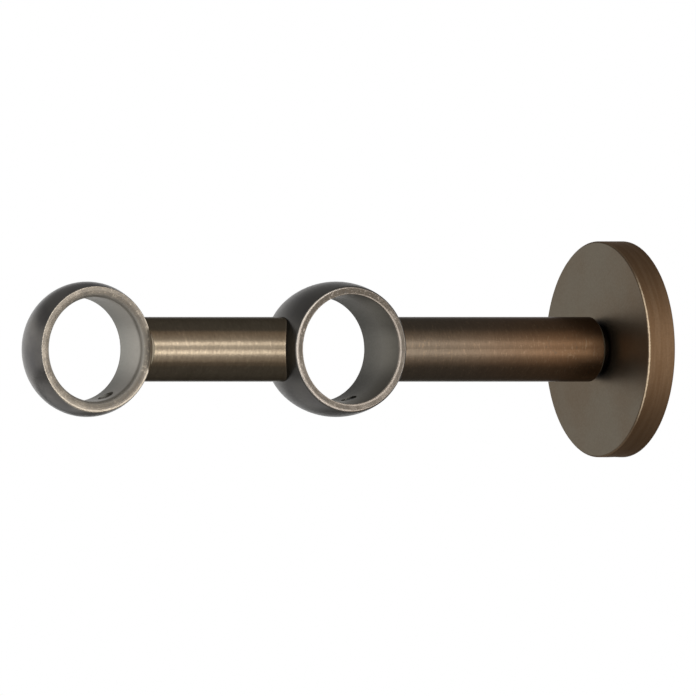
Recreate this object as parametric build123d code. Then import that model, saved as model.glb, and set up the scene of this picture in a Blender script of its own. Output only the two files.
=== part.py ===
from build123d import *
import os
from math import cos, radians, sin, sqrt

# Double curtain pole bracket for a wall.
# The wall is the plane y = 0 and the room lies towards -Y. Up is +Z and the poles run along X.
# Lengths are in millimetres and angles in degrees.

# Poles and the rings that carry them
pole_d = 19.0
pole_clearance = 0.3          # play of a pole in its ring, on the diameter
ring_wall = 2.9               # at the crest of a ring's outside
back_edge_break = 0.15        # chamfer at the -X mouth of a bore
crest_shift = 0.5             # crest of a ring's outside, moved from its middle towards +X
front_ring_width = 8.7
front_crown_curve = 9.0       # radius of the front ring's outside, seen across its width
front_flare_length = 1.3      # rounded mouth of the front bore on the +X side, along the pole
front_flare_rise = 1.2        # how far that mouth opens, on the radius
front_edge_round = 0.2        # outer edge of the front ring's +X face
rear_ring_width = 12.8
rear_crown_curve = 20.0
rear_flare_length = 5.0
rear_flare_rise = 0.6
rear_edge_round = 0.5
back_edge_round = 0.15        # outer edge of both rings' -X faces

# Stems, and the joints between stems and rings
stem_d = 12.0
rear_reach = 61.0             # wall to the centre of the rear pole
pole_spacing = 52.65          # centre of the rear pole to the centre of the front pole
stem_chamfer = 0.6            # at the flat rear end of the rear stem
saddle_curve = 8.15           # radius of the saddle at the rear end of the front stem
front_lip_r = 11.3            # front stem's lips beside the front ring, from the ring's axis
braze_gap = 0.03              # between a ring and the stem end that sits on it
spigot_d = 6.0
spigot_length = 9.0           # how far a spigot stands out from its ring's crown
spigot_tip_chamfer = 0.6
spigot_clearance = 0.05       # round a spigot, in the stem
spigot_end_gap = 1.0          # free hole past the tip of a spigot
seat_pad_d = 9.0              # flat pad on the rosette that the rear stem is screwed up to
shadow_gap = 1.2              # height of the pad, which leaves a dark groove round the joint

# Rosette, a round cover that is hollow at the back
rosette_d = 40.0
rosette_depth = 5.6
rosette_face_wall = 2.0
rosette_rim_wall = 3.0
rosette_front_chamfer = 0.3
rosette_back_chamfer = 0.2

# Wall plate inside the rosette, smaller at the wall than at its room side
plate_rim_clearance = 0.5     # between the plate and the inside of the rosette's rim
plate_face_gap = 0.5          # between the plate and the inside of the rosette's face
plate_undercut = 1.0          # by how much the plate's radius shrinks towards the wall
plate_hole_clearance = 1.25   # round the stem screw's head
wall_screw_hole_d = 4.5
wall_screw_head_d = 8.2

# Screw from inside the rosette into the rear stem
stem_screw_d = 6.0
stem_screw_reach = 10.0       # thread inside the stem
stem_screw_head_d = 10.5
stem_screw_head_gap = 0.2     # between the head and the wall
stem_screw_socket = 4.0       # across the flats
stem_screw_hole_clearance = 0.3

# Short headless screws: two that clamp the poles, one that locks the rosette to its plate
grub_d = 3.0
grub_clearance = 0.05         # round a screw in its hole
grub_socket = 1.5             # across the flats
grub_end_chamfer = 0.3
clamp_length = 2.2
front_clamp_angle = 26.0      # turned from straight down towards the wall
rear_clamp_angle = 18.0
front_clamp_recess = 0.6      # screw tip below the surface of the bore
rear_clamp_recess = 0.15
lock_recess = 0.4             # screw below the surface of the rosette's rim
lock_tip_gap = 0.05           # screw tip to the plate's sloping rim

# Sizes that follow
bore_r = (pole_d + pole_clearance) / 2
ring_r = bore_r + ring_wall
stem_r = stem_d / 2
spigot_r = spigot_d / 2
spigot_root = ring_r - ring_wall / 2
rear_stem_end = -rosette_depth - shadow_gap
rear_ring_y = -rear_reach
front_ring_y = rear_ring_y - pole_spacing
saddle_lip = sqrt(ring_r ** 2 - stem_r ** 2) + braze_gap
saddle_y = rear_ring_y - saddle_lip + sqrt(saddle_curve ** 2 - stem_r ** 2)
cavity_depth = rosette_depth - rosette_face_wall
cavity_r = rosette_d / 2 - rosette_rim_wall
plate_thickness = cavity_depth - plate_face_gap
plate_r = cavity_r - plate_rim_clearance
plate_back_r = plate_r - plate_undercut
plate_hole_r = stem_screw_head_d / 2 + plate_hole_clearance
wall_screw_offset = (plate_hole_r + plate_back_r) / 2
lock_depth = (cavity_depth + rosette_back_chamfer) / 2
lock_tip = plate_back_r + plate_undercut * lock_depth / plate_thickness + lock_tip_gap
grub_r = grub_d / 2


def rod_y(radius, start, end):
    """Round bar along Y between two places."""
    return Pos(0, (start + end) / 2, 0) * Rot(90, 0, 0) * Cylinder(radius, abs(end - start))


def crown_disc(curve, extra=0.0):
    """Disc whose edge is the arc of a ring's outside, with the ring's axis along X."""
    return Pos(crest_shift, ring_r - curve) * Circle(curve + extra)


def crowned_body(curve):
    """Whole round body that a ring is cut from, a little larger by the braze gap."""
    above_axis = Pos(0, curve) * Rectangle(4 * curve, 2 * curve)
    return revolve(crown_disc(curve, braze_gap) & above_axis, Axis.X)


def ring_blank(width, curve, edge_round):
    """Solid disc with a ring's crowned outside and softened outer edges."""
    profile = crown_disc(curve) & Pos(0, ring_r) * Rectangle(width, 2 * ring_r)
    back_corner = profile.vertices().sort_by(Axis.X)[:2].sort_by(Axis.Y)[-1]
    profile = fillet(back_corner, back_edge_round)
    corner = profile.vertices().sort_by(Axis.X)[-2:].sort_by(Axis.Y)[-1]
    return revolve(fillet(corner, edge_round), Axis.X)


def pole_bore(width, flare_length, flare_rise):
    """Cutter for a ring's bore along X: straight, then opening in a smooth curve to its +X mouth."""
    face = width / 2
    edge = back_edge_break
    flare_start = (face - flare_length, bore_r)
    mouth = (face, bore_r + flare_rise)
    outside = (face + edge, bore_r + flare_rise)
    back = (-face - edge, bore_r + 2 * edge)
    straight = Polyline((outside[0], 0), (back[0], 0), back, (-face + edge, bore_r), flare_start)
    flare = TangentArc(flare_start, mouth, tangent=(1, 0))
    outline = straight + flare + Polyline(mouth, outside, (outside[0], 0))
    return revolve(make_face(outline), Axis.X)


def spigot(side):
    """Round spigot that stands out of a ring along Y, towards the side given as 1 or -1."""
    tip = ring_r + spigot_length
    bar = rod_y(spigot_r, side * spigot_root, side * tip)
    edge = bar.edges().filter_by(GeomType.CIRCLE).sort_by(Axis.Y)[-1 if side > 0 else 0]
    return chamfer(edge, spigot_tip_chamfer)


def clamp_plane(ring_y, angle):
    """Frame at a ring's centre with Z along the clamp screw, pointing out of the ring."""
    outward = (0, sin(radians(angle)), -cos(radians(angle)))
    return Plane(origin=(0, ring_y, 0), x_dir=(1, 0, 0), z_dir=outward)


def clamp_hole(ring_y, angle):
    """Drilling through the lower wall of a ring for its clamp screw."""
    hole = Pos(0, 0, ring_r) * Cylinder(grub_r + grub_clearance, 2 * ring_wall + 2 * clamp_length)
    return clamp_plane(ring_y, angle) * hole


def make_front_ring():
    """Narrow ball-shaped ring for the front pole, with a spigot towards the wall."""
    ring = ring_blank(front_ring_width, front_crown_curve, front_edge_round)
    ring -= pole_bore(front_ring_width, front_flare_length, front_flare_rise)
    ring += spigot(1)
    return Pos(0, front_ring_y, 0) * ring - clamp_hole(front_ring_y, front_clamp_angle)


def make_rear_ring():
    """Wide barrel-shaped ring for the rear pole, with a spigot each way."""
    ring = ring_blank(rear_ring_width, rear_crown_curve, rear_edge_round)
    ring -= pole_bore(rear_ring_width, rear_flare_length, rear_flare_rise)
    ring += spigot(1) + spigot(-1)
    return Pos(0, rear_ring_y, 0) * ring - clamp_hole(rear_ring_y, rear_clamp_angle)


def spigot_hole(ring_y, side):
    """Hole in a stem for the spigot of the ring centred at ring_y."""
    depth = ring_r + spigot_length + spigot_end_gap
    return rod_y(spigot_r + spigot_clearance, ring_y, ring_y + side * depth)


def make_rear_stem():
    """Bar from the rosette to the rear ring, hollowed at its front end to sit on the ring."""
    bar = rod_y(stem_r, rear_stem_end, rear_ring_y)
    flat_edge = bar.edges().filter_by(GeomType.CIRCLE).sort_by(Axis.Y)[-1]
    bar = chamfer(flat_edge, stem_chamfer)
    bar -= Pos(0, rear_ring_y, 0) * crowned_body(rear_crown_curve)
    bar -= spigot_hole(rear_ring_y, 1)
    screw_end = rear_stem_end - stem_screw_reach - spigot_end_gap
    return bar - rod_y(stem_screw_d / 2 + spigot_clearance, rear_stem_end, screw_end)


def make_front_stem():
    """Bar between the rings: a saddle on the rear ring's crown, hollowed for the front ring."""
    bar = rod_y(stem_r, saddle_y, front_ring_y)
    bar -= Pos(0, saddle_y, 0) * Rot(0, 90, 0) * Cylinder(saddle_curve, 2 * stem_d)
    bar -= Pos(0, front_ring_y, 0) * crowned_body(front_crown_curve)
    bar -= Pos(0, front_ring_y, 0) * Rot(0, 90, 0) * Cylinder(front_lip_r, 2 * stem_d)
    bar -= spigot_hole(front_ring_y, 1)
    return bar - spigot_hole(rear_ring_y, -1)


def make_rosette():
    """Round cover with a seat pad on its flat face, a rim, and holes for its two screws."""
    outer_r = rosette_d / 2
    hole_r = stem_screw_d / 2 + stem_screw_hole_clearance
    front, inner = -rosette_depth, -cavity_depth
    outline = [
        (hole_r, rear_stem_end),
        (seat_pad_d / 2, rear_stem_end),
        (seat_pad_d / 2, front),
        (outer_r - rosette_front_chamfer, front),
        (outer_r, front + rosette_front_chamfer),
        (outer_r, -rosette_back_chamfer),
        (outer_r - rosette_back_chamfer, 0),
        (cavity_r + rosette_back_chamfer, 0),
        (cavity_r, -rosette_back_chamfer),
        (cavity_r, inner),
        (hole_r, inner),
    ]
    cover = revolve(make_face(Polyline(outline, close=True)), Axis.Y)
    lock_hole = Cylinder(grub_r + grub_clearance, 2 * rosette_rim_wall)
    return cover - Pos(0, -lock_depth, -(outer_r + cavity_r) / 2) * lock_hole


def make_wall_plate():
    """Steel disc screwed to the wall: undercut rim, centre hole and two countersunk holes."""
    room = -plate_thickness
    outline = [(plate_hole_r, room), (plate_r, room), (plate_back_r, 0), (plate_hole_r, 0)]
    plate = revolve(make_face(Polyline(outline, close=True)), Axis.Y)
    hole_r, head_r = wall_screw_hole_d / 2, wall_screw_head_d / 2
    sink = [(0, room), (head_r, room), (hole_r, room + head_r - hole_r), (hole_r, 0), (0, 0)]
    cutter = revolve(make_face(Polyline(sink, close=True)), Axis.Y)
    for side in (-1, 1):
        plate -= Pos(side * wall_screw_offset, 0, 0) * cutter
    return plate


def make_stem_screw():
    """Button-headed socket screw that draws the rear stem against the rosette."""
    seat = -cavity_depth
    head_r = stem_screw_head_d / 2
    top = -stem_screw_head_gap
    land = head_r * 0.55
    head_line = Polyline((land, top), (0, top), (0, seat), (head_r, seat))
    dome = TangentArc((head_r, seat), (land, top), tangent=(0, 1))
    head = revolve(make_face(head_line + dome), Axis.Y)
    tip = rear_stem_end - stem_screw_reach
    shank = rod_y(stem_screw_d / 2, seat, tip)
    tip_edge = shank.edges().filter_by(GeomType.CIRCLE).sort_by(Axis.Y)[0]
    shank = chamfer(tip_edge, spigot_tip_chamfer)
    depth = (top - seat) / 2
    socket = extrude(RegularPolygon(stem_screw_socket / 2, 6, major_radius=False), depth)
    return head + shank - Pos(0, top, 0) * Rot(90, 0, 0) * socket


def grub_screw(length, cone):
    """Headless screw along Z: its tip at the origin, its socket at the far end."""
    tip_r = 0 if cone else grub_r - grub_end_chamfer
    shoulder = grub_r if cone else grub_end_chamfer
    outline = [
        (0, 0),
        (tip_r, 0),
        (grub_r, shoulder),
        (grub_r, length - grub_end_chamfer),
        (grub_r - grub_end_chamfer, length),
        (0, length),
    ]
    if cone:
        outline.pop(0)
    body = revolve(Plane.XZ * make_face(Polyline(outline, close=True)), Axis.Z)
    socket = extrude(RegularPolygon(grub_socket / 2, 6, major_radius=False), length / 2)
    return body - Pos(0, 0, length / 2) * socket


def make_clamp_screw(ring_y, angle, recess):
    """Clamp screw in a ring, its tip held back below the bore."""
    return clamp_plane(ring_y, angle) * Pos(0, 0, bore_r + recess) * grub_screw(clamp_length, False)


def make_lock_screw():
    """Cone-pointed screw up through the rosette's rim against the plate's undercut rim."""
    length = rosette_d / 2 - lock_recess - lock_tip
    place = Plane(origin=(0, -lock_depth, -lock_tip), x_dir=(1, 0, 0), z_dir=(0, 0, -1))
    return place * grub_screw(length, True)


os.makedirs("parts", exist_ok=True)
export_step(make_rosette(), "parts/rosette.step")
export_step(make_wall_plate(), "parts/wall_plate.step")
export_step(make_lock_screw(), "parts/rosette_lock_screw.step")
export_step(make_stem_screw(), "parts/stem_screw.step")
export_step(make_rear_stem(), "parts/rear_stem.step")
export_step(make_rear_ring(), "parts/rear_ring.step")
export_step(make_front_stem(), "parts/front_stem.step")
export_step(make_front_ring(), "parts/front_ring.step")
rear_clamp = make_clamp_screw(rear_ring_y, rear_clamp_angle, rear_clamp_recess)
export_step(rear_clamp, "parts/rear_clamp_screw.step")
front_clamp = make_clamp_screw(front_ring_y, front_clamp_angle, front_clamp_recess)
export_step(front_clamp, "parts/front_clamp_screw.step")
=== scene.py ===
"""Double curtain pole bracket in antique bronze: finishes, set screws, studio and camera.

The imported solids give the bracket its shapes.  This script gives each of them the finish of its own
making, cuts the threads and sockets of the three set screws, and builds the studio round the bracket.
Lengths are in metres in the frame of the solids: the wall is the plane y = 0, the room lies towards -Y,
the poles run along X and +Z is up.  Finishes work in millimetres, because their grain is that fine.
"""

import logging
import math
from dataclasses import dataclass, field
from enum import Enum
from typing import Union

import bmesh
import bpy
from mathutils import Matrix, Vector


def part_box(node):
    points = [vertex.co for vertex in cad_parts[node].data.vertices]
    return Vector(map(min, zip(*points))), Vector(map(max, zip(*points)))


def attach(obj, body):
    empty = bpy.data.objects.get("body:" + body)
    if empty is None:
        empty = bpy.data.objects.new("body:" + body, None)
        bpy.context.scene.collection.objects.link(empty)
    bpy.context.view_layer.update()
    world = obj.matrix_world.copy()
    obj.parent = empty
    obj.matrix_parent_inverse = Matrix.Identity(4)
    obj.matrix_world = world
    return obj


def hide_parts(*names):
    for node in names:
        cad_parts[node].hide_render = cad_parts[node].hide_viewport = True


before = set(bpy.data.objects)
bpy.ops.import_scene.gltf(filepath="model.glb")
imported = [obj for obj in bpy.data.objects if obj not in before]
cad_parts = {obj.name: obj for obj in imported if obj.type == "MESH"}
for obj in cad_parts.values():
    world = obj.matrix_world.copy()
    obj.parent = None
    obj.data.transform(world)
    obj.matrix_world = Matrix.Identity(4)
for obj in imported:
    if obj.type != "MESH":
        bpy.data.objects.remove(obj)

LOG = logging.getLogger("pole_bracket")
MM = 0.001
WHITE = (1.0, 1.0, 1.0)
# Range that most of a noise pattern lies in.
NOISE_RANGE = (0.3, 0.7)
# Sockets of the Mix node for colours, whose names are those of its sockets for numbers too.
MIX_SHARE, MIX_UNDER, MIX_OVER, MIX_RESULT = 0, 6, 7, 2
# Share of a turn that lays the drawn-out highlights across the grain.
ACROSS_GRAIN = 0.25
# Inputs of the tree that makes the set screws.
SCREW_LENGTHS = (
    "Radius", "Length", "Pitch", "Thread Depth", "End Chamfer", "Tip Radius", "Socket", "Socket Depth",
)
SCREW_COUNTS = ("Turn Steps", "Rows")
# Rows of a screw's mesh besides the steps along its thread: the centre of the tip, the start of the thread,
# and the socket's rim, the edge of its floor and the middle of its floor.
SCREW_END_ROWS = 5.0
# Numbers of rows past the thread's steps, each just short of one of the socket's three rows.
SOCKET_STEPS = (1.5, 2.5, 3.5)
# Added to an index so that a whole row never rounds down.
INDEX_SLACK = 0.25
# Start and end of a thread's flank, as shares of half its pitch.
THREAD_FLANK = (0.15, 0.9)
# Points of a screw that lie closer than this are one.
WELD = 1e-6
# Faces of a screw that meet at more than this keep a sharp edge.
SHARP_ANGLE = math.radians(32.0)

Socket = bpy.types.NodeSocket
Feed = Union[Socket, "Tone", float, int, tuple, bpy.types.Material]


class Turning(Enum):
    """Axis that a piece was turned or brushed round."""

    ROUND_X = "X"
    ROUND_Y = "Y"


class Tip(Enum):
    """Point of a set screw."""

    FLAT = "flat"
    CONE = "cone"


@dataclass(frozen=True)
class Tone:
    """Colour as it looks on a screen, each part from 0 to 255."""

    red: float
    green: float
    blue: float

    def linear(self) -> tuple[float, float, float, float]:
        """Gives the colour in the values that shaders take.

        Returns:
            Red, green, blue and alpha, each from 0 to 1.
        """
        # The numbers below are those of the sRGB curve.
        parts = [value / 255 for value in (self.red, self.green, self.blue)]
        straight = [p / 12.92 if p <= 0.04045 else ((p + 0.055) / 1.055) ** 2.4 for p in parts]
        return (straight[0], straight[1], straight[2], 1.0)

    def dimmed(self, share: float) -> "Tone":
        """Gives the same colour with a share of its brightness."""
        return Tone(self.red * share, self.green * share, self.blue * share)


class NodeBench:
    """Puts nodes into one tree and wires them together."""

    def __init__(self, tree: bpy.types.NodeTree) -> None:
        """Takes the tree to work on.

        Args:
            tree: Shader or geometry tree that the nodes go into.
        """
        self.tree = tree

    def add(self, kind: str, **settings: object) -> bpy.types.Node:
        """Adds one node.

        Args:
            kind: Blender's name for the kind of node.
            **settings: Properties of the node to set.

        Returns:
            The new node.
        """
        node = self.tree.nodes.new(kind)
        for key, value in settings.items():
            setattr(node, key, value)
        return node

    def feed(self, socket: Socket, source: Feed) -> None:
        """Gives a socket its value.

        Args:
            socket: Input to fill.
            source: Output to wire to it, or a value or colour to set on it.
        """
        if isinstance(source, Socket):
            self.tree.links.new(source, socket)
        elif isinstance(source, Tone):
            socket.default_value = source.linear()
        else:
            socket.default_value = source

    def calc(self, operation: str, *terms: Feed) -> Socket:
        """Works out one number.

        Args:
            operation: Name of the sum, as on Blender's Math node.
            *terms: Numbers or outputs that go into it.

        Returns:
            Output that holds the result.
        """
        node = self.add("ShaderNodeMath", operation=operation)
        for socket, term in zip(node.inputs, terms):
            self.feed(socket, term)
        return node.outputs[0]

    def point(self, x: Feed, y: Feed, z: Feed) -> Socket:
        """Joins three numbers into a vector.

        Args:
            x: First part.
            y: Second part.
            z: Third part.

        Returns:
            Output that holds the vector.
        """
        node = self.add("ShaderNodeCombineXYZ")
        for socket, part in zip(node.inputs, (x, y, z)):
            self.feed(socket, part)
        return node.outputs[0]

    def parts(self, vector: Socket) -> tuple[Socket, Socket, Socket]:
        """Splits a vector into its three numbers.

        Args:
            vector: Output that holds the vector.

        Returns:
            Outputs for x, y and z.
        """
        node = self.add("ShaderNodeSeparateXYZ")
        self.feed(node.inputs[0], vector)
        return node.outputs[0], node.outputs[1], node.outputs[2]

    def ease(self, value: Feed, start: float, end: float, low: float = 0.0, high: float = 1.0) -> Socket:
        """Goes smoothly from one number to another as a value rises.

        Args:
            value: Value that drives the change.
            start: Value where the change starts.
            end: Value where it is complete.
            low: Result at the start.
            high: Result at the end.

        Returns:
            Output that holds the result.
        """
        node = self.add("ShaderNodeMapRange", interpolation_type="SMOOTHSTEP")
        terms = {"Value": value, "From Min": start, "From Max": end, "To Min": low, "To Max": high}
        for name, term in terms.items():
            self.feed(node.inputs[name], term)
        return node.outputs["Result"]

    def noise(self, spot: Socket, stretch: tuple[float, float, float], detail: float) -> Socket:
        """Gives a cloudy or streaky pattern between 0 and 1.

        Args:
            spot: Place on the piece, in millimetres.
            stretch: Waves for each millimetre along x, y and z.
            detail: Number of finer layers.

        Returns:
            Output that holds the pattern.
        """
        scaled = self.add("ShaderNodeVectorMath", operation="MULTIPLY")
        self.feed(scaled.inputs[0], spot)
        self.feed(scaled.inputs[1], stretch)
        node = self.add("ShaderNodeTexNoise")
        self.feed(node.inputs["Vector"], scaled.outputs[0])
        self.feed(node.inputs["Scale"], 1.0)
        self.feed(node.inputs["Detail"], detail)
        return node.outputs[0]

    def tint(self, share: Feed, under: Feed, over: Feed) -> Socket:
        """Lays one colour over another.

        Args:
            share: How much of the upper colour shows.
            under: Lower colour.
            over: Upper colour.

        Returns:
            Output that holds the colour.
        """
        node = self.add("ShaderNodeMix", data_type="RGBA")
        self.feed(node.inputs[MIX_SHARE], share)
        self.feed(node.inputs[MIX_UNDER], under)
        self.feed(node.inputs[MIX_OVER], over)
        return node.outputs[MIX_RESULT]

    def millimetres(self) -> Socket:
        """Gives the place on the piece.

        Returns:
            Output that holds the place, in millimetres of the object's own frame.
        """
        place = self.add("ShaderNodeTexCoord")
        scaled = self.add("ShaderNodeVectorMath", operation="SCALE")
        self.feed(scaled.inputs[0], place.outputs["Object"])
        self.feed(scaled.inputs["Scale"], 1 / MM)
        return scaled.outputs[0]

    def radius(self, first: Socket, second: Socket) -> Socket:
        """Gives the distance from an axis.

        Args:
            first: Offset from it in one direction.
            second: Offset from it at right angles to that.

        Returns:
            Output that holds the distance.
        """
        squares = [self.calc("POWER", offset, 2.0) for offset in (first, second)]
        return self.calc("SQRT", self.calc("ADD", *squares))

    def shifted(self, value: Socket, by: float) -> Socket:
        """Gives a value less a fixed number."""
        return self.calc("SUBTRACT", value, by)

    def times(self, first: Feed, second: Feed) -> Socket:
        """Multiplies two numbers."""
        return self.calc("MULTIPLY", first, second)

    def plus(self, base: Feed, extra: Feed, share: float) -> Socket:
        """Adds a share of one number to another."""
        return self.calc("ADD", base, self.times(extra, share))

    def vary(self, pattern: Socket, low: float, high: float) -> Socket:
        """Spreads a noise pattern between two numbers."""
        return self.ease(pattern, *NOISE_RANGE, low, high)


@dataclass(frozen=True, kw_only=True)
class Finish:
    """Surface of a metal: what all the finishes share.

    Lengths and places are in millimetres.  Colours and roughness change at levels of the noise patterns, most
    of which lie within NOISE_RANGE.

    Attributes:
        name: Name of the material.
        turning: Axis that the grain runs round.
        stretch: How far the brushing draws highlights out across the grain.
        limb: How bright the metal stays where it turns out of sight, from 0 to 1.
    """

    name: str
    turning: Turning = Turning.ROUND_Y
    stretch: float = 0.0
    limb: float = 0.6

    def material(self) -> bpy.types.Material:
        """Makes the material.

        Returns:
            The finished material.
        """
        made = bpy.data.materials.new(self.name)
        made.use_nodes = True
        made.node_tree.nodes.clear()
        bench = NodeBench(made.node_tree)
        surface = bench.add("ShaderNodeBsdfPrincipled")
        surface.inputs["Metallic"].default_value = 1.0
        surface.inputs["Specular Tint"].default_value = (self.limb, self.limb, self.limb, 1.0)
        surface.inputs["Anisotropic"].default_value = self.stretch
        surface.inputs["Anisotropic Rotation"].default_value = ACROSS_GRAIN
        if self.stretch:
            grain = bench.add("ShaderNodeTangent", direction_type="RADIAL", axis=self.turning.value)
            bench.feed(surface.inputs["Tangent"], grain.outputs[0])
        output = bench.add("ShaderNodeOutputMaterial")
        bench.feed(output.inputs["Surface"], surface.outputs[0])
        self.dress(bench, surface)
        return made

    def dress(self, bench: NodeBench, surface: bpy.types.Node) -> None:
        """Gives the surface its colour, roughness and relief.

        Args:
            bench: Bench for the material's tree.
            surface: The shader to fill.
        """
        raise NotImplementedError

    def relief(self, bench: NodeBench, surface: bpy.types.Node, height: Socket, microns: float) -> None:
        """Raises the surface by a pattern.

        Args:
            bench: Bench for the material's tree.
            surface: The shader to fill.
            height: Pattern between 0 and 1.
            microns: Height of the pattern at 1, in thousandths of a millimetre.
        """
        bump = bench.add("ShaderNodeBump")
        bench.feed(bump.inputs["Strength"], 1.0)
        bench.feed(bump.inputs["Distance"], microns * MM * MM)
        bench.feed(bump.inputs["Height"], height)
        bench.feed(surface.inputs["Normal"], bump.outputs[0])


@dataclass(frozen=True, kw_only=True)
class BrushedBar(Finish):
    """Bronze bar, browned, then brushed round and round so that the metal shows through in fine lines.

    Attributes:
        rubbed: Metal where the brush has cut through.
        brown: Browned metal between the lines.
        warm: Redder metal that the colour drifts to along the bar.
        glint: Bright metal of the specks.
        drift: Where along Y the drift starts and ends.
        end_y: Place along Y of the square end, or of the axis that a saddle end is cut round.
        saddle_r: Radius of the saddle, or 0 for a square end.
        bar_r: Radius of the bar.
        cut: Bare metal of the cut ends and holes, made pale on the front stem as painted light on its shaded
            lip end.
        rough: Roughness of the brushed metal.
    """

    rubbed: Tone
    brown: Tone
    warm: Tone
    glint: Tone
    drift: tuple[float, float]
    end_y: float
    saddle_r: float = 0.0
    bar_r: float
    cut: Tone
    rough: float

    def from_end(self, bench: NodeBench, y: Socket, z: Socket) -> Socket:
        """Gives the distance from the bar's rear end.

        Args:
            bench: Bench for the material's tree.
            y: Place along the bar.
            z: Height.

        Returns:
            Output that holds the distance.
        """
        off = bench.shifted(y, self.end_y)
        return bench.shifted(bench.radius(off, z), self.saddle_r) if self.saddle_r else off

    def dress(self, bench: NodeBench, surface: bpy.types.Node) -> None:
        """Lays brush lines, flecks and the worn rim of the rear end.

        Args:
            bench: Bench for the material's tree.
            surface: The shader to fill.
        """
        spot = bench.millimetres()
        x, y, z = bench.parts(spot)
        out = bench.radius(x, z)
        fine = bench.noise(spot, (1.3, 3.4, 1.3), detail=3.0)
        lines = bench.noise(spot, (0.2, 1.1, 0.2), detail=3.0)
        cloud = bench.noise(spot, (0.1, 0.12, 0.1), detail=2.0)
        flecks = bench.noise(spot, (1.1, 2.6, 1.1), detail=2.0)

        # The three patterns share out the brown and the rubbed metal between them.
        mixed = bench.plus(bench.plus(bench.times(fine, 0.45), lines, 0.3), cloud, 0.25)
        share = bench.ease(mixed, 0.34, 0.66, 0.32, 0.68)
        metal = bench.tint(share, self.brown, self.rubbed)
        redder = bench.tint(share, self.warm.dimmed(0.84), self.warm.dimmed(1.08))
        metal = bench.tint(bench.ease(y, *self.drift), metal, redder)
        metal = bench.tint(bench.ease(flecks, 0.56, 0.74, high=0.4), metal, self.glint)
        metal = bench.tint(bench.ease(flecks, 0.36, 0.27, high=0.5), metal, self.brown)

        rim = bench.radius(bench.shifted(out, self.bar_r), self.from_end(bench, y, z))
        worn = bench.ease(bench.plus(rim, fine, 0.4), 0.6, 0.3, high=0.6)
        metal = bench.tint(worn, metal, self.rubbed)
        # Cut ends take the cut tone; the front stem's pale one is painted light on its shaded lip end.
        sawn = bench.ease(out, self.bar_r - 0.06, self.bar_r - 0.16)
        metal = bench.tint(sawn, metal, self.cut)

        bench.feed(surface.inputs["Base Color"], metal)
        rough = bench.vary(fine, self.rough + 0.012, self.rough - 0.012)
        bench.feed(surface.inputs["Roughness"], bench.plus(rough, sawn, 0.45))
        self.relief(bench, surface, bench.calc("ADD", fine, lines), microns=0.7)


@dataclass(frozen=True)
class WornEdgeAndHighlight:
    """Edge of a ring's faces where the brown has worn off, its band widened to one side as a painted
    highlight.

    Attributes:
        radius: Radius of the edge, in millimetres.
        side: Direction along Y and Z in which the painted highlight widens the worn band.
    """

    radius: float
    side: tuple[float, float]


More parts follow.
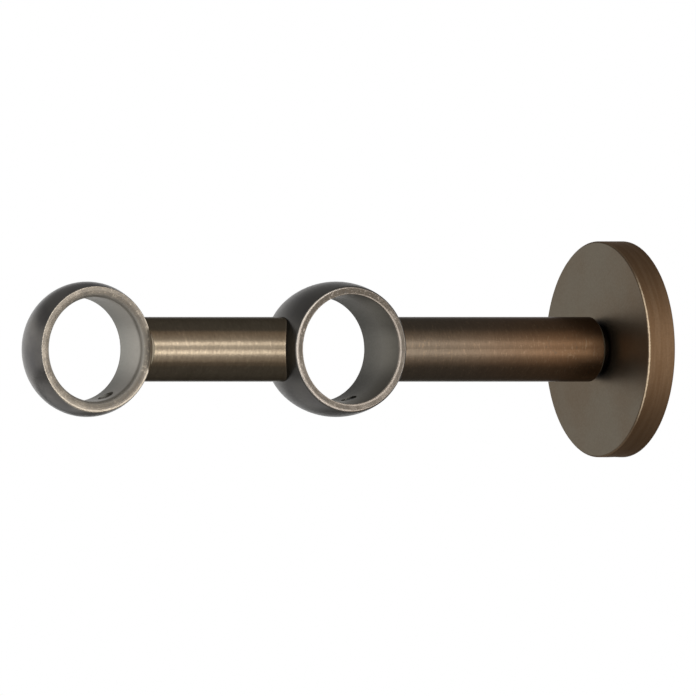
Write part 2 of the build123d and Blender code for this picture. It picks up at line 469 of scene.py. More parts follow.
@dataclass(frozen=True, kw_only=True)
class CastRing(Finish):
    """Bronze casting: brown outside, linished faces with painted light, turned bore with painted shade.

    Attributes:
        outside: Browned outer surface.
        face: Linished faces.
        bore: Turned bore at its wider mouth.
        shaded_bore: Darker tone towards the bore's other end, painted shade.
        edge: Worn edges of the faces.
        centre_y: Place of the ring's axis along Y.
        half_width: Half of the ring's width along the pole.
        mouth_r: Radius of the bore's wider mouth.
        face_r: Radius of the outer edge of its faces.
        painted_light_side: Direction along Y and Z in which painted light makes the faces lightest.
        worn_edges_and_highlights: Worn edges of the faces, each widened to one side as a painted highlight.
    """

    outside: Tone
    face: Tone
    bore: Tone
    shaded_bore: Tone
    edge: Tone
    centre_y: float
    half_width: float
    mouth_r: float
    face_r: float
    painted_light_side: tuple[float, float]
    worn_edges_and_highlights: tuple[WornEdgeAndHighlight, ...]

    def towards(self, bench: NodeBench, off: Socket, z: Socket, way: tuple[float, float]) -> Socket:
        """Gives how far a place lies in a direction across the ring.

        Args:
            bench: Bench for the material's tree.
            off: Offset from the ring's axis along Y.
            z: Height.
            way: Direction along Y and Z.

        Returns:
            Output that holds the distance.
        """
        return bench.plus(bench.times(off, way[0]), z, way[1])

    def dress(self, bench: NodeBench, surface: bpy.types.Node) -> None:
        """Parts the ring into outside, faces and bore by place, wears faces and edges, and paints light on
        them and shade in the bore.

        Args:
            bench: Bench for the material's tree.
            surface: The shader to fill.
        """
        spot = bench.millimetres()
        x, y, z = bench.parts(spot)
        off = bench.shifted(y, self.centre_y)
        out = bench.radius(off, z)
        along = bench.calc("ABSOLUTE", x)

        cloud = bench.noise(spot, (0.14, 0.14, 0.14), detail=3.0)
        patches = bench.noise(spot, (0.4, 0.4, 0.4), detail=3.0)
        grit = bench.noise(spot, (2.4, 2.4, 2.4), detail=3.0)
        turned = bench.noise(bench.point(x, out, 0.0), (3.2, 3.2, 1.0), detail=2.0)
        linished = bench.noise(spot, (0.3, 2.2, 0.5), detail=3.0)

        # Each surface blends into the next within a fraction of a millimetre.
        in_bore = bench.ease(out, self.mouth_r + 0.12, self.mouth_r + 0.02)
        level = bench.ease(along, self.half_width - 0.5, self.half_width - 0.02)
        on_face = bench.times(level, bench.ease(out, self.face_r + 0.2, self.face_r + 0.05))
        brown = bench.tint(bench.vary(cloud, 0.0, 0.3), self.outside, self.bore)
        # The bore darkens from its wider mouth towards its other end: painted shade.
        depth = bench.ease(x, -self.half_width, 0.8 * self.half_width)
        metal = bench.tint(in_bore, brown, bench.tint(depth, self.shaded_bore, self.bore))

        rubbed = bench.tint(bench.ease(linished, 0.2, 0.6, low=0.7), self.outside, self.face)
        # The faces grow lighter towards one side: painted light.
        side = self.towards(bench, off, z, self.painted_light_side)
        spread = bench.ease(patches, 0.35, 0.65, low=0.35)
        bright = bench.times(bench.ease(side, -9.0, 9.0, 0.04, 0.37), spread)
        rubbed = bench.tint(bright, rubbed, self.edge)
        speckle = bench.plus(grit, patches, 0.5)
        rubbed = bench.tint(bench.ease(speckle, 0.82, 0.96, high=0.55), rubbed, self.edge)
        rubbed = bench.tint(bench.ease(speckle, 0.68, 0.56, high=0.4), rubbed, self.outside)
        metal = bench.tint(on_face, metal, rubbed)

        ragged = bench.calc("ADD", grit, patches)
        # Each edge is worn all round, and its worn band widens towards one side as a painted highlight.
        for worn_edge_and_highlight in self.worn_edges_and_highlights:
            rim = bench.radius(bench.shifted(along, self.half_width), bench.shifted(out, worn_edge_and_highlight.radius))
            wide = bench.ease(self.towards(bench, off, z, worn_edge_and_highlight.side), -4.0, 10.0, -0.12, 0.16)
            worn = bench.calc("SUBTRACT", bench.plus(rim, ragged, 0.25), wide)
            metal = bench.tint(bench.ease(worn, 0.5, 0.3, high=0.8), metal, self.edge)

        bench.feed(surface.inputs["Base Color"], metal)
        satin = bench.plus(bench.times(on_face, 0.28), in_bore, 0.12)
        bench.feed(surface.inputs["Roughness"], bench.calc("ADD", bench.vary(grit, 0.3, 0.36), satin))
        lined = bench.times(bench.times(linished, on_face), 0.4)
        height = bench.calc("ADD", bench.times(turned, in_bore), lined)
        self.relief(bench, surface, bench.plus(height, grit, 0.35), microns=3.0)


@dataclass(frozen=True, kw_only=True)
class SpunRosette(Finish):
    """Bronze cover: satin brown face, rim brushed round, painted highlight on the front edge, painted shade
    at the seat.

    Attributes:
        face: Satin brown of the face.
        rim: Redder brown of the rim.
        edge: Pale tone of the rim's faint streaks and of the painted highlight along the front edge.
        seat: Dark brown round the seat pad, painted shade under the rear stem's end.
        seat_r: Radius of the seat pad.
        outer_r: Radius of the rosette.
        front_y: Place of its face along Y.
    """

    face: Tone
    rim: Tone
    edge: Tone
    seat: Tone
    seat_r: float
    outer_r: float
    front_y: float

    def dress(self, bench: NodeBench, surface: bpy.types.Node) -> None:
        """Gives face and rim their browns and grain, and paints shade at the seat and a highlight on the
        front edge.

        Args:
            bench: Bench for the material's tree.
            surface: The shader to fill.
        """
        spot = bench.millimetres()
        x, y, z = bench.parts(spot)
        out = bench.radius(x, z)
        cloud = bench.noise(spot, (0.06, 0.06, 0.06), detail=3.0)
        grit = bench.noise(spot, (2.8, 2.8, 2.8), detail=2.0)
        brushed = bench.noise(spot, (0.1, 1.6, 0.1), detail=3.0)
        rings = bench.noise(bench.point(out, 0.0, 0.0), (4.0, 1.0, 1.0), detail=2.0)

        mottle = bench.ease(bench.plus(cloud, grit, 0.12), 0.4, 0.75, high=0.4)
        metal = bench.tint(mottle, self.face, self.rim)
        # The face darkens round the seat pad, under the rear stem's end: painted shade.
        groove = bench.ease(out, self.seat_r + 1.6, self.seat_r + 0.4)
        metal = bench.tint(groove, metal, self.seat)
        on_rim = bench.ease(out, self.outer_r - 0.35, self.outer_r - 0.1)
        streaks = bench.ease(brushed, 0.35, 0.68, high=0.025)
        metal = bench.tint(on_rim, metal, bench.tint(streaks, self.rim, self.edge))

        # The front edge just behind the face turns near-white, most at the sides: a painted highlight.
        front = bench.radius(bench.shifted(out, self.outer_r - 0.08), bench.shifted(y, self.front_y + 0.2))
        worn = bench.ease(bench.plus(front, grit, 0.2), 0.3, 0.15, high=0.8)
        highlight_sides = bench.ease(bench.calc("ABSOLUTE", x), 13.5, 18.5, low=0.08)
        metal = bench.tint(bench.times(worn, highlight_sides), metal, self.edge)

        bench.feed(surface.inputs["Base Color"], metal)
        bench.feed(surface.inputs["Roughness"], bench.plus(bench.vary(grit, 0.34, 0.42), on_rim, 0.24))
        brush = bench.times(bench.times(brushed, on_rim), 0.012)
        self.relief(bench, surface, bench.plus(bench.plus(brush, rings, 0.2), grit, 0.3), microns=2.0)


@dataclass(frozen=True, kw_only=True)
class ZincedPlate(Finish):
    """Zinc-plated sheet steel, cloudy, with the marks of the press.

    Attributes:
        bright: Clear zinc.
        dull: Zinc that has gone cloudy.
        tarnish: Yellowish bloom in the corners of the grain.
    """

    bright: Tone
    dull: Tone
    tarnish: Tone

    def dress(self, bench: NodeBench, surface: bpy.types.Node) -> None:
        """Clouds the zinc and draws the sheet's rolling lines through it.

        Args:
            bench: Bench for the material's tree.
            surface: The shader to fill.
        """
        spot = bench.millimetres()
        cloud = bench.noise(spot, (0.22, 0.22, 0.22), detail=4.0)
        bloom = bench.noise(spot, (0.09, 0.3, 0.09), detail=3.0)
        rolled = bench.noise(spot, (2.6, 1.0, 0.12), detail=3.0)
        metal = bench.tint(bench.ease(cloud, 0.35, 0.65), self.bright, self.dull)
        metal = bench.tint(bench.ease(bloom, 0.52, 0.72, high=0.6), metal, self.tarnish)
        metal = bench.tint(bench.ease(rolled, 0.55, 0.75, high=0.3), metal, self.dull)
        bench.feed(surface.inputs["Base Color"], metal)
        bench.feed(surface.inputs["Roughness"], bench.vary(cloud, 0.28, 0.46))
        self.relief(bench, surface, bench.calc("ADD", rolled, cloud), microns=3.0)


@dataclass(frozen=True, kw_only=True)
class OiledSteel(Finish):
    """Hardened steel screw, blackened and oiled, with small grey rubs.

    Attributes:
        black: Blackened steel.
        grey: Bare steel where the black has worn.
    """

    black: Tone
    grey: Tone

    def dress(self, bench: NodeBench, surface: bpy.types.Node) -> None:
        """Breaks the black with small grey rubs.

        Args:
            bench: Bench for the material's tree.
            surface: The shader to fill.
        """
        spot = bench.millimetres()
        rubs = bench.noise(spot, (1.6, 1.6, 1.6), detail=4.0)
        grit = bench.noise(spot, (6.0, 6.0, 6.0), detail=2.0)
        metal = bench.tint(bench.ease(rubs, 0.5, 0.75), self.black, self.grey)
        bench.feed(surface.inputs["Base Color"], metal)
        bench.feed(surface.inputs["Roughness"], bench.vary(grit, 0.34, 0.5))
        self.relief(bench, surface, grit, microns=2.0)


@dataclass
class SetScrew:
    """Headless socket screw, threaded to both ends, on the body that it moves with.

    Attributes:
        name: Name of the piece.
        node: Solid that it stands for.
        body: Body that it rides on.
        tip_at: Place of its tip.
        along: Direction from its tip to its socket.
        length: Length from tip to socket end.
        tip: Shape of its point.
        radius: Radius over the thread.
        pitch: Rise of the thread in one turn.
        thread_depth: Depth of the thread.
        end_chamfer: Chamfer at its ends.
        socket: Hexagon socket across the flats.
        socket_depth: Depth of the socket.
        turn_steps: Steps round one turn.
        rows: Rows of the mesh along the thread.
    """

    name: str
    node: str
    body: str
    tip_at: Vector
    along: Vector
    length: float
    tip: Tip
    radius: float = 1.5 * MM
    pitch: float = 0.5 * MM
    thread_depth: float = 0.27 * MM
    end_chamfer: float = 0.3 * MM
    socket: float = 1.5 * MM
    socket_depth: float = 1.0 * MM
    turn_steps: int = 48
    rows: int = 56

    def build(self, material: bpy.types.Material) -> bpy.types.Object:
        """Builds the screw at its place.

        Args:
            material: Finish of the screw.

        Returns:
            The finished piece.
        """
        blank = bpy.data.meshes.new(self.name + "_blank")
        former = bpy.data.objects.new(self.name + "_former", blank)
        bpy.context.scene.collection.objects.link(former)
        modifier = former.modifiers.new("thread", "NODES")
        modifier.node_group = set_screw_tree()
        tip_r = 0.0 if self.tip is Tip.CONE else self.radius - self.end_chamfer
        sizes = {
            "Radius": self.radius,
            "Length": self.length,
            "Pitch": self.pitch,
            "Thread Depth": self.thread_depth,
            "End Chamfer": self.end_chamfer,
            "Tip Radius": tip_r,
            "Socket": self.socket,
            "Socket Depth": self.socket_depth,
            "Turn Steps": self.turn_steps,
            "Rows": self.rows,
            "Finish": material,
        }
        for item in modifier.node_group.interface.items_tree:
            if item.in_out == "INPUT":
                modifier[item.identifier] = sizes[item.name]
        graph = bpy.context.evaluated_depsgraph_get()
        mesh = bpy.data.meshes.new_from_object(former.evaluated_get(graph), depsgraph=graph)
        bpy.data.objects.remove(former)
        self.settle(mesh)
        piece = bpy.data.objects.new(self.name, mesh)
        bpy.context.scene.collection.objects.link(piece)
        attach(piece, self.body)
        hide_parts(self.node)
        return piece

    def settle(self, mesh: bpy.types.Mesh) -> None:
        """Turns the mesh's faces outwards, marks its edges and moves it to its place.

        Args:
            mesh: Mesh of the screw, tip at the origin and socket along Z.
        """
        work = bmesh.new()
        work.from_mesh(mesh)
        bmesh.ops.recalc_face_normals(work, faces=work.faces)
        work.to_mesh(mesh)
        work.free()
        upright = self.along.normalized()
        across = Vector((1.0, 0.0, 0.0))
        turn = Matrix((across, upright.cross(across), upright)).transposed().to_4x4()
        mesh.transform(Matrix.Translation(self.tip_at) @ turn)
        for polygon in mesh.polygons:
            polygon.use_smooth = True
        mesh.set_sharp_from_angle(angle=SHARP_ANGLE)
        mesh.update()


def set_screw_tree() -> bpy.types.NodeTree:
    """Makes the tree that turns a grid into a threaded screw, once for all the screws.

    Returns:
        The geometry tree, with an input for each size of the screw.
    """
    made = bpy.data.node_groups.get("set_screw")
    if made:
        return made
    tree = bpy.data.node_groups.new("set_screw", "GeometryNodeTree")
    tree.interface.new_socket("Geometry", in_out="OUTPUT", socket_type="NodeSocketGeometry")
    kinds = dict.fromkeys(SCREW_LENGTHS, "NodeSocketFloat") | dict.fromkeys(SCREW_COUNTS, "NodeSocketInt")
    for name, kind in (kinds | {"Finish": "NodeSocketMaterial"}).items():
        tree.interface.new_socket(name, in_out="INPUT", socket_type=kind)
    bench = NodeBench(tree)
    size = bench.add("NodeGroupInput").outputs

    columns = bench.calc("ADD", size["Turn Steps"], 1.0)
    grid = bench.add("GeometryNodeMeshGrid")
    bench.feed(grid.inputs["Vertices X"], bench.calc("ADD", size["Rows"], SCREW_END_ROWS))
    bench.feed(grid.inputs["Vertices Y"], columns)
    index = bench.add("GeometryNodeInputIndex").outputs[0]
    row = bench.calc("FLOOR", bench.calc("DIVIDE", bench.calc("ADD", index, INDEX_SLACK), columns))
    column = bench.calc("SUBTRACT", index, bench.times(row, columns))
    turn = bench.calc("DIVIDE", column, size["Turn Steps"])
    angle = bench.times(turn, math.tau)

    # Rows run from the centre of the tip along the thread, over the socket's rim and down to its floor.
    share = bench.calc("DIVIDE", bench.shifted(row, 1.0), size["Rows"])
    rise = bench.times(size["Length"], bench.calc("MAXIMUM", bench.calc("MINIMUM", share, 1.0), 0.0))
    phase = bench.calc("FRACT", bench.calc("SUBTRACT", bench.calc("DIVIDE", rise, size["Pitch"]), turn))
    groove = bench.calc("ABSOLUTE", bench.shifted(bench.times(phase, 2.0), 1.0))
    depth = bench.times(size["Thread Depth"], bench.ease(groove, *THREAD_FLANK))
    thread = bench.calc("SUBTRACT", size["Radius"], depth)
    at_tip = bench.calc("ADD", size["Tip Radius"], rise)
    left = bench.calc("SUBTRACT", size["Length"], rise)
    at_end = bench.calc("ADD", bench.calc("SUBTRACT", size["Radius"], size["End Chamfer"]), left)
    side = bench.calc("MINIMUM", thread, bench.calc("MINIMUM", at_tip, at_end))

    sixth = bench.calc("MODULO", bench.calc("ADD", angle, math.pi / 6), math.pi / 3)
    flat = bench.calc("COSINE", bench.shifted(sixth, math.pi / 6))
    hexagon = bench.calc("DIVIDE", bench.calc("DIVIDE", size["Socket"], 2.0), flat)
    beyond = bench.calc("SUBTRACT", row, size["Rows"])
    in_socket, on_floor, in_middle = [bench.calc("GREATER_THAN", beyond, step) for step in SOCKET_STEPS]
    shape = bench.calc("ADD", side, bench.times(in_socket, bench.calc("SUBTRACT", hexagon, side)))
    # The first row and the last one close up to a point.
    spread = bench.times(bench.calc("GREATER_THAN", row, 0.5), bench.calc("SUBTRACT", 1.0, in_middle))
    reach = bench.times(shape, spread)
    height = bench.calc("SUBTRACT", rise, bench.times(size["Socket Depth"], on_floor))

    place = bench.add("GeometryNodeSetPosition")
    bench.feed(place.inputs["Geometry"], grid.outputs["Mesh"])
    across = bench.times(reach, bench.calc("COSINE", angle))
    aside = bench.times(reach, bench.calc("SINE", angle))
    bench.feed(place.inputs["Position"], bench.point(across, aside, height))
    merge = bench.add("GeometryNodeMergeByDistance")
    bench.feed(merge.inputs["Geometry"], place.outputs["Geometry"])
    bench.feed(merge.inputs["Distance"], WELD)
    real = bench.add("GeometryNodeRealizeInstances")
    bench.feed(real.inputs["Geometry"], merge.outputs["Geometry"])
    coat = bench.add("GeometryNodeSetMaterial")
    bench.feed(coat.inputs["Geometry"], real.outputs["Geometry"])
    bench.feed(coat.inputs["Material"], size["Finish"])
    output = bench.add("NodeGroupOutput")
    bench.feed(output.inputs["Geometry"], coat.outputs["Geometry"])
    return tree


@dataclass
class Bracket:
    """The bracket's own pieces: rosette, stems, rings, wall plate and screws.  Lengths are in millimetres.

    Attributes:
        rear_reach: Wall to the rear pole's axis.
        front_reach: Wall to the front pole's axis.
        bore_r: Radius of the bores' straight part.
        front_half: Half of the front ring's width.
        front_mouth_r: Radius of the front bore's wider mouth.
        front_face_r: Radius of the outer edge of the front ring's faces.
        rear_half: Half of the rear ring's width.
        rear_mouth_r: Radius of the rear bore's wider mouth.
        rear_face_r: Radius of the outer edge of the rear ring's faces.
        stem_r: Radius of the stems.
        saddle_y: Axis of the saddle at the front stem's rear end along Y.
        saddle_r: Radius of that saddle.
        rear_stem_end: Square end of the rear stem along Y.
        seat_pad_r: Radius of the pad on the rosette that the rear stem stands on.
        rosette_r: Radius of the rosette.
        rosette_front: Face of the rosette along Y.
        clamp_length: Length of the clamp screws.
        front_lean: Lean of the front clamp screw towards the wall, in degrees from straight down.
        front_recess: Depth of its tip below the bore.
        rear_lean: Lean of the rear clamp screw, in the same way.
        rear_recess: Depth of its tip below the bore.
        lock_socket_depth: Depth of the socket in the screw that locks the rosette.
    """

    rear_reach: float = 61.0
    front_reach: float = 113.65
    bore_r: float = 9.65
    front_half: float = 4.35
    front_mouth_r: float = 10.85
    front_face_r: float = 11.5
    rear_half: float = 6.4
    rear_mouth_r: float = 10.25
    rear_face_r: float = 11.25
    stem_r: float = 6.0
    saddle_y: float = -66.537
    saddle_r: float = 8.15
    rear_stem_end: float = -6.8
    seat_pad_r: float = 4.5
    rosette_r: float = 20.0
    rosette_front: float = -5.6
    clamp_length: float = 2.2
    front_lean: float = 26.0
    front_recess: float = 0.6
    rear_lean: float = 18.0
    rear_recess: float = 0.15
    lock_socket_depth: float = 1.5

    def finishes(self) -> dict[str, Finish]:
        """Gives each solid that stays in view its finish.

        Returns:
            Finish by name of solid.
        """
        brown = Tone(92, 82, 68)
        return {
            "front_stem": BrushedBar(
                name="brushed_front_stem", stretch=0.3, limb=0.45, rough=0.24, drift=(-80.0, -60.0),
                rubbed=Tone(126, 115, 99), brown=brown, warm=Tone(104, 88, 68),
                # The pale cut tone is painted light on the shaded end of the lip.
                glint=Tone(136, 123, 105), cut=Tone(222, 210, 188),
                bar_r=self.stem_r, end_y=self.saddle_y, saddle_r=self.saddle_r,
            ),
            # The rear stem's tones are darker than the front stem's: painted shade on the same finish.
            "rear_stem": BrushedBar(
                name="brushed_rear_stem", stretch=0.35, limb=0.58, rough=0.33, drift=(-48.0, -8.0),
                rubbed=Tone(108, 97, 84), brown=Tone(81, 71, 60), warm=Tone(104, 79, 57),
                glint=Tone(128, 109, 88), cut=brown,
                bar_r=self.stem_r, end_y=self.rear_stem_end,
            ),
            "front_ring": CastRing(
                name="cast_front_ring", limb=1.0, painted_light_side=(-1.0, 0.0),
                outside=Tone(96, 94, 93), face=Tone(117, 110, 100), bore=Tone(166, 161, 152),
                shaded_bore=Tone(148, 146, 139), edge=Tone(186, 176, 161),
                centre_y=-self.front_reach, half_width=self.front_half,
                mouth_r=self.front_mouth_r, face_r=self.front_face_r,
                # Its worn edge widens towards the lower right as a painted highlight.
                worn_edges_and_highlights=(WornEdgeAndHighlight(self.front_face_r + 0.1, side=(0.5, -0.87)),),
            ),
            # The rear ring's faces and bore are darker than the front ring's: painted shade on the same
            # finish.
            "rear_ring": CastRing(
                name="cast_rear_ring", turning=Turning.ROUND_X, stretch=0.5, limb=1.0,
                painted_light_side=(0.3, -0.95),
                outside=Tone(92, 90, 88), face=Tone(86, 79, 70), bore=Tone(116, 112, 103),
                shaded_bore=Tone(88, 86, 80), edge=Tone(166, 157, 147),
                centre_y=-self.rear_reach, half_width=self.rear_half,
                mouth_r=self.rear_mouth_r, face_r=self.rear_face_r,
                # Its worn edges widen towards one side each as painted highlights.
                worn_edges_and_highlights=(
                    WornEdgeAndHighlight(self.rear_mouth_r + 0.05, side=(0.95, -0.3)),
                    WornEdgeAndHighlight(self.rear_face_r + 0.15, side=(-0.6, -0.25)),
                ),
            ),
            # Its edge tone is near-white for the painted highlight along the front edge.
            "rosette": SpunRosette(
                name="satin_rosette", face=Tone(110, 102, 89), rim=Tone(100, 78, 57),
                # Its seat tone is dark for the painted shade round the seat pad.
                edge=Tone(250, 228, 196), seat=Tone(38, 31, 24),
                seat_r=self.seat_pad_r, outer_r=self.rosette_r, front_y=self.rosette_front,
            ),
            "wall_plate": ZincedPlate(
                name="zinced_plate", bright=Tone(190, 192, 195), dull=Tone(158, 160, 163),
                tarnish=Tone(180, 172, 146),
            ),
            "stem_screw": OiledSteel(name="oiled_steel", black=Tone(52, 51, 50), grey=Tone(128, 126, 122)),
        }

    def dress(self) -> None:
        """Puts the finishes on the solids that stay in view."""
        for node, finish in self.finishes().items():
            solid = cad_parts[node]
            solid.material_slots[0].material = finish.material()
            LOG.info("%s: solid with finish %s", node, finish.name)

    def screws(self) -> list[SetScrew]:
        """Lists the set screws with their places.

        Returns:
            The two clamp screws and the screw that locks the rosette.
        """
        return [
            self.clamp(
                "front_clamp_set_screw", "front_clamp_screw", "front_clamp",
                self.front_reach, self.front_lean, self.front_recess,
            ),
            self.clamp(
                "rear_clamp_set_screw", "rear_clamp_screw", "rear_clamp",
                self.rear_reach, self.rear_lean, self.rear_recess,
            ),
            self.lock("rosette_lock_set_screw", "rosette_lock_screw", "rosette_lock"),
        ]

    def clamp(self, name: str, node: str, body: str, reach: float, lean: float, recess: float) -> SetScrew:
        """Places a screw in the lower wall of a ring.

        Args:
            name: Name of the piece.
            node: Solid that it stands for.
            body: Body that it rides on.
            reach: Wall to the ring's axis, in millimetres.
            lean: Lean of the screw towards the wall, in degrees from straight down.
            recess: Depth of its tip below the bore, in millimetres.

        Returns:
            The screw.
        """
        along = Vector((0.0, math.sin(math.radians(lean)), -math.cos(math.radians(lean))))
        tip_at = (Vector((0.0, -reach, 0.0)) + along * (self.bore_r + recess)) * MM
        return SetScrew(name, node, body, tip_at, along, self.clamp_length * MM, Tip.FLAT)

    def lock(self, name: str, node: str, body: str) -> SetScrew:
        """Places the screw that goes up through the rosette's rim.

        Args:
            name: Name of the piece.
            node: Solid that it stands for.
            body: Body that it rides on.

        Returns:
            The screw.
        """
        low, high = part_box(node)
        tip_at = Vector(((low[0] + high[0]) / 2, (low[1] + high[1]) / 2, high[2]))
        down = Vector((0.0, 0.0, -1.0))
        depth = self.lock_socket_depth * MM
        return SetScrew(name, node, body, tip_at, down, high[2] - low[2], Tip.CONE, socket_depth=depth)

    def build(self) -> None:
        """Dresses the solids and builds the set screws."""
        self.dress()
        steel = OiledSteel(name="set_screw_steel", black=Tone(48, 47, 46), grey=Tone(120, 118, 114))
        material = steel.material()
        for screw in self.screws():
            piece = screw.build(material)
            LOG.info("%s: %d faces, rides on %s", piece.name, len(piece.data.polygons), screw.body)


@dataclass(frozen=True)
class SoftBox:
    """Rectangular lamp behind white cloth.

    Attributes:
        name: Name of the lamp.
        centre: Place of its middle.
        aim: Point that it faces.
        width: Width.
        height: Height.
        brightness: Brightness of its cloth, where 1 is white paper in the render.
        tone: Colour of its light.
    """

    name: str
    centre: Vector
    aim: Vector
    width: float
    height: float
    brightness: float
    tone: tuple[float, float, float] = WHITE

    def hang(self) -> None:
        """Hangs the lamp."""
        lamp = bpy.data.lights.new(self.name, "AREA")
        lamp.shape = "RECTANGLE"
        lamp.size = self.width
        lamp.size_y = self.height
        lamp.energy = self.brightness * math.pi * self.width * self.height
        lamp.color = self.tone
        hung = bpy.data.objects.new(self.name, lamp)
        bpy.context.scene.collection.objects.link(hung)
        hung.location = self.centre
        hung.rotation_euler = (self.aim - self.centre).to_track_quat("-Z", "Y").to_euler()
        hung.visible_camera = False


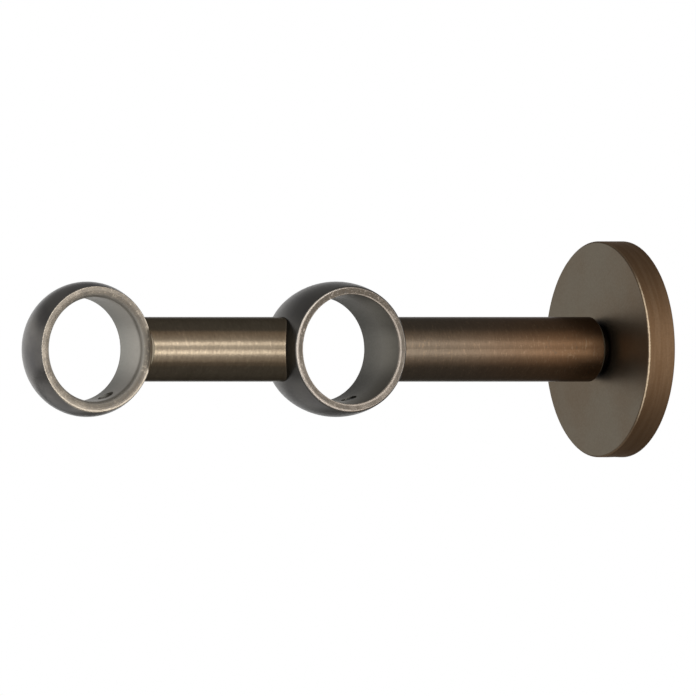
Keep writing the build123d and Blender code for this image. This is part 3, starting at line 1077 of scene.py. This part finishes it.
@dataclass
class Studio:
    """White sweep behind the bracket, pale floor, soft lamps beside it, and the camera.

    Attributes:
        azimuth: Camera's bearing, in degrees from straight in front, towards +X.
        frame_width: Width of the picture at the bracket.
        centre: Point in the middle of the picture.
        distance: Camera to that point.
        clip: Nearest and farthest distance that the camera sees.
        floor_drop: Depth of the floor below the stems' axis.
        floor_r: Radius of the floor.
        floor_sides: Number of sides of the floor's outline.
        floor_tone: Colour of the floor.
        floor_rough: Roughness of the floor.
        lamp_reach: Distance of the lamps beside the bracket.
        near_reach: Distance of the lamp by the camera.
        panel_at: Place of the low panel along X and Y.
        panel_lift: Height of the low panel above the floor.
        sweep: Brightness of the white sweep.
        sweep_top: Heights between which the sweep fades out, where 1 is overhead and -1 underfoot.
        sweep_foot: Heights between which it fades in.
        sweep_side: Turns between which it fades in, where 1 is straight behind the bracket and -1 in front.
        room: Brightness of the rest of the room.
        ceiling: Brightness overhead and underfoot.
    """

    azimuth: float = 61.2
    frame_width: float = 0.12889
    centre: Vector = field(default_factory=lambda: Vector((0.0, -0.05821, 0.00024)))
    distance: float = 1.6
    clip: tuple[float, float] = (0.01, 20.0)
    floor_drop: float = 0.5
    floor_r: float = 1.2
    floor_sides: int = 96
    floor_tone: Tone = Tone(170, 170, 169)
    floor_rough: float = 0.9
    lamp_reach: float = 0.36
    near_reach: float = 0.7
    panel_at: tuple[float, float] = (-0.45, -0.27)
    panel_lift: float = 0.01
    sweep: float = 1.0
    sweep_top: tuple[float, float] = (0.18, 0.58)
    sweep_foot: tuple[float, float] = (-0.8, -0.35)
    sweep_side: tuple[float, float] = (-0.4, 0.3)
    room: float = 0.6
    ceiling: float = 0.25

    def towards_camera(self) -> Vector:
        """Gives the level direction from the bracket to the camera."""
        turn = math.radians(self.azimuth)
        return Vector((math.sin(turn), -math.cos(turn), 0.0))

    def build(self) -> None:
        """Sets up world, floor, lamps and camera."""
        self.world()
        self.floor()
        for lamp in self.lamps():
            lamp.hang()
            LOG.info("%s: %.2f by %.2f m at %.2f", lamp.name, lamp.width, lamp.height, lamp.brightness)
        self.camera()
        bpy.context.scene.view_settings.view_transform = "Standard"

    def world(self) -> None:
        """Makes the surroundings: a white sweep behind the bracket, a dimmer room and ceiling."""
        made = bpy.data.worlds.new("studio")
        bpy.context.scene.world = made
        made.use_nodes = True
        made.node_tree.nodes.clear()
        bench = NodeBench(made.node_tree)
        way = bench.add("ShaderNodeTexCoord").outputs["Generated"]
        behind = bench.add("ShaderNodeVectorMath", operation="DOT_PRODUCT")
        bench.feed(behind.inputs[0], way)
        bench.feed(behind.inputs[1], tuple(-self.towards_camera()))
        height = bench.parts(way)[2]
        top = bench.ease(height, *self.sweep_top, low=1.0, high=0.0)
        level = bench.times(top, bench.ease(height, *self.sweep_foot))
        backing = bench.ease(behind.outputs["Value"], *self.sweep_side)
        low = bench.calc("ADD", bench.times(level, self.room - self.ceiling), self.ceiling)
        white = bench.times(level, backing)
        bright = bench.calc("ADD", low, bench.times(white, bench.calc("SUBTRACT", self.sweep, low)))
        sky = bench.add("ShaderNodeBackground")
        bench.feed(sky.inputs["Color"], bright)
        output = bench.add("ShaderNodeOutputWorld")
        bench.feed(output.inputs["Surface"], sky.outputs[0])

    def floor(self) -> None:
        """Lays the plain pale floor."""
        mesh = bpy.data.meshes.new("floor")
        work = bmesh.new()
        bmesh.ops.create_circle(work, cap_ends=True, segments=self.floor_sides, radius=self.floor_r)
        bmesh.ops.translate(work, verts=work.verts, vec=(0.0, self.centre.y, -self.floor_drop))
        work.to_mesh(mesh)
        work.free()
        laid = bpy.data.objects.new("floor", mesh)
        bpy.context.scene.collection.objects.link(laid)
        made = bpy.data.materials.new("floor_paper")
        made.use_nodes = True
        surface = made.node_tree.nodes["Principled BSDF"]
        surface.inputs["Base Color"].default_value = self.floor_tone.linear()
        surface.inputs["Roughness"].default_value = self.floor_rough
        mesh.materials.append(made)

    def beside(
        self, name: str, side: float, up: float, width: float, height: float, brightness: float,
        nearer: float = 0.0, tone: tuple[float, float, float] = WHITE,
    ) -> SoftBox:
        """Places a lamp where the stems' near side mirrors it into the camera.

        Args:
            name: Name of the lamp.
            side: Offset along the row of lamps, towards the wall.
            up: Height above the stems' axis.
            width: Width.
            height: Height.
            brightness: Brightness, where 1 is white paper.
            nearer: How far it stands in front of the row.
            tone: Colour of its light.

        Returns:
            The lamp.
        """
        toward = self.towards_camera()
        glance = Vector((toward.x, -toward.y, 0.0))
        aside = Vector((toward.y, toward.x, 0.0))
        spot = glance * (self.lamp_reach - nearer) + aside * side + Vector((0.0, 0.0, up))
        return SoftBox(name, spot, spot - glance, width, height, brightness, tone)

    def lamps(self) -> list[SoftBox]:
        """Lists the lamps: a tall box with two strips, two warm boxes, a box by the camera and a low panel.

        Returns:
            The lamps.
        """
        near_spot = self.centre + self.towards_camera() * self.near_reach
        low_spot = Vector((*self.panel_at, self.panel_lift - self.floor_drop))
        above = low_spot + Vector((0.0, 0.0, 1.0))
        strip = {"side": -0.194, "width": 0.272, "nearer": 0.012}
        return [
            self.beside("tall_box", side=-0.195, up=0.055, width=0.27, height=0.79, brightness=1.48),
            self.beside("upper_strip", up=0.131, height=0.077, brightness=5.4, **strip),
            self.beside("lower_strip", up=-0.073, height=0.071, brightness=5.5, **strip),
            self.beside(
                "warm_box", side=-0.0125, up=0.18, width=0.095, height=1.06, brightness=0.54,
                tone=(1.0, 0.8, 0.63),
            ),
            self.beside(
                "rim_box", side=0.0825, up=-0.14, width=0.095, height=1.6, brightness=0.53,
                tone=(1.0, 0.78, 0.6),
            ),
            SoftBox("near_box", near_spot, self.centre, width=0.34, height=1.3, brightness=1.75),
            SoftBox("low_panel", low_spot, above, width=0.65, height=0.65, brightness=0.58),
        ]

    def camera(self) -> None:
        """Places the camera at the picture's viewing angle."""
        lens = bpy.data.cameras.new("camera")
        lens.type = "ORTHO"
        lens.ortho_scale = self.frame_width
        lens.clip_start, lens.clip_end = self.clip
        held = bpy.data.objects.new("camera", lens)
        bpy.context.scene.collection.objects.link(held)
        held.location = self.centre + self.towards_camera() * self.distance
        level = math.radians(90.0)
        held.rotation_euler = (level, 0.0, math.radians(self.azimuth))
        bpy.context.scene.camera = held


def main() -> None:
    """Builds the bracket's pieces and the studio."""
    logging.basicConfig(level=logging.INFO, format="%(name)s: %(message)s")
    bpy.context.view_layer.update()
    Bracket().build()
    Studio().build()


if __name__ == "__main__":
    main()
